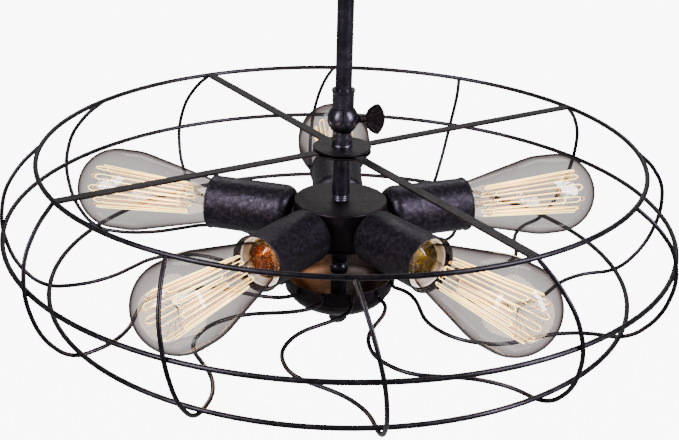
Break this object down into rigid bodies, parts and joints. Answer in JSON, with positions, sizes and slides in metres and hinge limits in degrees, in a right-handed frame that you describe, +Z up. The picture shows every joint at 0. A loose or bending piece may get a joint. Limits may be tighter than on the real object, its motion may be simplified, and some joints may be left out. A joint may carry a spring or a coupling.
{
  "type": "caged ceiling light",
  "caption": "Ceiling light on a downrod with bulbs lying round a hub inside a wire cage of rings and curved ribs, tilting at a knuckle.",
  "frame": {"origin": "centre of the ceiling bracket, on the ceiling plane", "axes": "+Z up into the ceiling, +X towards the thumbscrew's grip, the light hangs along -Z"},
  "size_m": [0.4988, 0.4988, 0.4685],
  "materials": {
    "black_metal": "satin black lacquer on steel wire and strip",
    "dark_bronze": "smooth oil-rubbed bronze, half gloss",
    "lamp_metal": "brushed black outside, coppery lacquer inside",
    "zinc_steel": "zinc plated",
    "porcelain": "glazed white porcelain",
    "brass": "rolled brass",
    "cap_metal": "rolled, bright",
    "clear_glass": "clear, faintly smoked",
    "filament": "glass stem and glowing strands"
  },
  "bodies": {
    "ceiling_mount": {"ceiling_bracket": "zinc_steel", "canopy": "dark_bronze", "canopy_studs": "zinc_steel", "canopy_nuts": "dark_bronze", "rod_locknuts": "zinc_steel", "canopy_collar": "dark_bronze", "downrod": "dark_bronze", "upper_knuckle": "dark_bronze"},
    "cage": {"lower_knuckle": "dark_bronze", "top_disc": "black_metal", "top_straps": "black_metal", "lower_disc": "black_metal", "stem_tube": "dark_bronze", "centre_pipe": "zinc_steel", "hub_body": "lamp_metal", "hub_cover": "lamp_metal", "lower_tubes": "dark_bronze", "ball_nut": "dark_bronze", "bowl": "lamp_metal", "finial": "dark_bronze", "socket_nipples": "zinc_steel", "socket_insulators": "porcelain", "screw_shells": "brass", "centre_contacts": "brass", "top_ring": "black_metal", "middle_ring": "black_metal", "bottom_ring": "black_metal", "rib_01": "black_metal", "rib_02": "black_metal", "rib_03": "black_metal", "rib_04": "black_metal", "rib_05": "black_metal", "rib_06": "black_metal", "rib_07": "black_metal", "rib_08": "black_metal", "rib_09": "black_metal", "rib_10": "black_metal", "rib_11": "black_metal", "rib_12": "black_metal", "socket_cup_1": "lamp_metal", "socket_cup_2": "lamp_metal", "socket_cup_3": "lamp_metal", "socket_cup_4": "lamp_metal", "socket_cup_5": "lamp_metal"},
    "thumbscrew": {"thumbscrew": "black_metal"},
    "bulb_1": {"bulb_glass_1": "clear_glass", "bulb_cap_1": "cap_metal", "bulb_filament_1": "filament"},
    "bulb_2": {"bulb_glass_2": "clear_glass", "bulb_cap_2": "cap_metal", "bulb_filament_2": "filament"},
    "bulb_3": {"bulb_glass_3": "clear_glass", "bulb_cap_3": "cap_metal", "bulb_filament_3": "filament"},
    "bulb_4": {"bulb_glass_4": "clear_glass", "bulb_cap_4": "cap_metal", "bulb_filament_4": "filament"},
    "bulb_5": {"bulb_glass_5": "clear_glass", "bulb_cap_5": "cap_metal", "bulb_filament_5": "filament"}
  },
  "joints": [
    {"name": "swivel_tilt", "type": "hinge", "parent": "ceiling_mount", "child": "cage", "pos_m": [0, 0, -0.304], "axis": [1, 0, 0], "range_deg": [-60, 60]},
    {"name": "thumbscrew_turn", "type": "hinge", "parent": "ceiling_mount", "child": "thumbscrew", "pos_m": [0, 0, -0.304], "axis": [1, 0, 0], "range_deg": [0, 540]},
    {"name": "bulb_1_unscrew", "type": "slide", "parent": "cage", "child": "bulb_1", "axis": [0, 1, 0], "range_m": [0, 0.024]},
    {"name": "bulb_2_unscrew", "type": "slide", "parent": "cage", "child": "bulb_2", "axis": [-0.9511, 0.309, 0], "range_m": [0, 0.024]},
    {"name": "bulb_3_unscrew", "type": "slide", "parent": "cage", "child": "bulb_3", "axis": [-0.5878, -0.809, 0], "range_m": [0, 0.024]},
    {"name": "bulb_4_unscrew", "type": "slide", "parent": "cage", "child": "bulb_4", "axis": [0.5878, -0.809, 0], "range_m": [0, 0.024]},
    {"name": "bulb_5_unscrew", "type": "slide", "parent": "cage", "child": "bulb_5", "axis": [0.9511, 0.309, 0], "range_m": [0, 0.024]}
  ]
}
